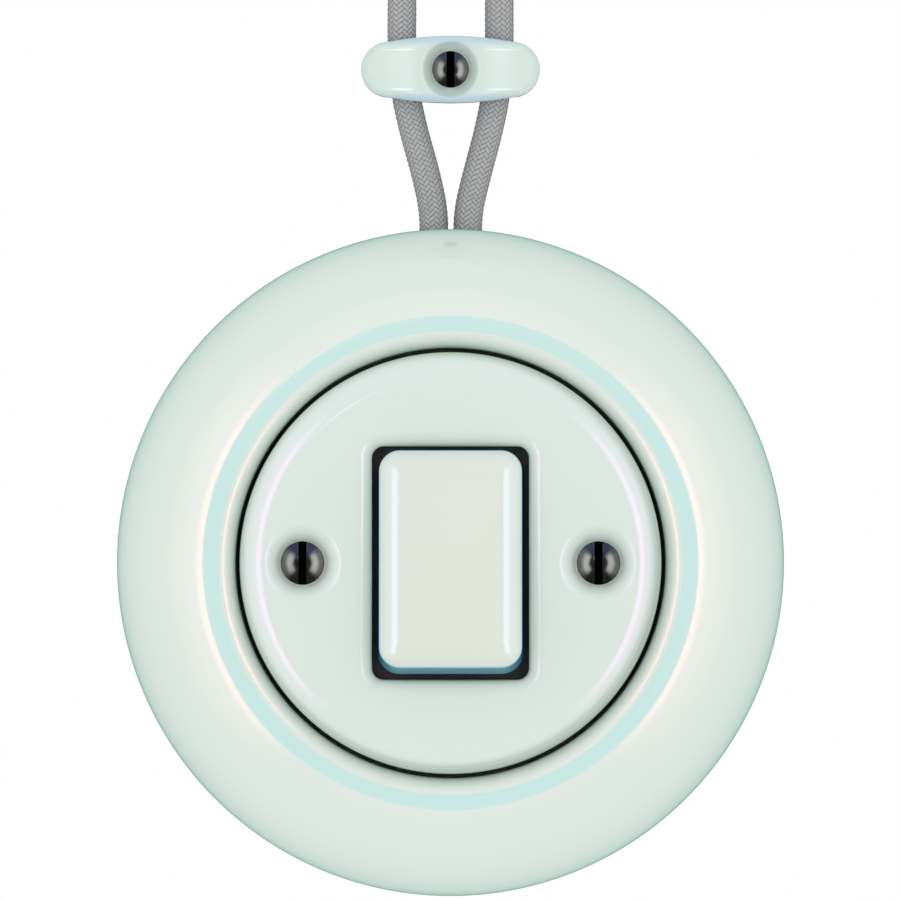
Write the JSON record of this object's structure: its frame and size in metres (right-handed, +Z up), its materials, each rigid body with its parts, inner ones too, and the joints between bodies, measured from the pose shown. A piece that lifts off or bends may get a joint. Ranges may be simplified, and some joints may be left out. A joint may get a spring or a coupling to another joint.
{
  "type": "porcelain button switch",
  "caption": "Round surface-mounted porcelain switch with a rocking button, two braided cables from above and the porcelain clip that holds them to the wall.",
  "frame": {"origin": "centre of the switch on the wall", "axes": "+Y into the wall, -Y out of the switch's face, +Z up to the cables, +X right"},
  "size_m": [0.1, 0.0597, 0.147],
  "materials": {
    "porcelain": "glossy pale mint glaze",
    "black_moulding": "black thermoset, moulded",
    "black_rubber": "soft black rubber, die-cut",
    "black_steel": "blackened and polished",
    "zinc_steel": "zinc plated",
    "spring_steel": "drawn wire",
    "brass": "stamped",
    "contact_silver": "riveted tips",
    "braid": "grey braided textile over insulation",
    "copper": "bare copper"
  },
  "bodies": {
    "switch_base": {"ring_body": "porcelain", "cover_disc": "porcelain", "cover_gasket": "black_rubber", "clip_saddle": "porcelain", "wall_plate": "black_moulding", "mechanism_housing": "black_moulding", "pivot_frame": "black_moulding", "cover_screws": "black_steel", "clip_screw": "black_steel", "support_yoke": "zinc_steel", "yoke_screws": "zinc_steel", "cover_pillars": "zinc_steel", "housing_rivets": "zinc_steel", "frame_screws": "zinc_steel", "pivot_pins": "zinc_steel", "terminal_screws": "zinc_steel", "contact_post": "brass", "contact_upper": "brass", "contact_lower": "brass", "terminal_common": "brass", "terminal_upper": "brass", "terminal_lower": "brass", "fixed_tips": "contact_silver", "cable_left": "braid", "cable_right": "braid", "wire_ends_left": "copper", "wire_ends_right": "copper"},
    "button": {"button": "porcelain", "rocker_cradle": "black_moulding", "detent_spring": "spring_steel"},
    "plunger": {"plunger": "zinc_steel"},
    "contact_rocker": {"contact_rocker": "brass", "moving_tips": "contact_silver"}
  },
  "joints": [
    {"name": "button_rock", "type": "hinge", "parent": "switch_base", "child": "button", "pos_m": [0, -0.035, 0], "axis": [1, 0, 0], "range_deg": [0, 14]},
    {"name": "contact_tilt", "type": "hinge", "parent": "switch_base", "child": "contact_rocker", "pos_m": [0, -0.022, 0], "axis": [1, 0, 0], "range_deg": [-14, 0]},
    {"name": "plunger_slide", "type": "slide", "parent": "button", "child": "plunger", "axis": [0, -0.9925, 0.1219], "range_m": [0, 0.0006], "stiffness_N_per_m": 200, "springref_m": -0.002, "deforming": ["detent_spring"]}
  ],
  "couplings": [
    {"joint": "contact_tilt", "follows": "button_rock", "ratio": -1}
  ]
}
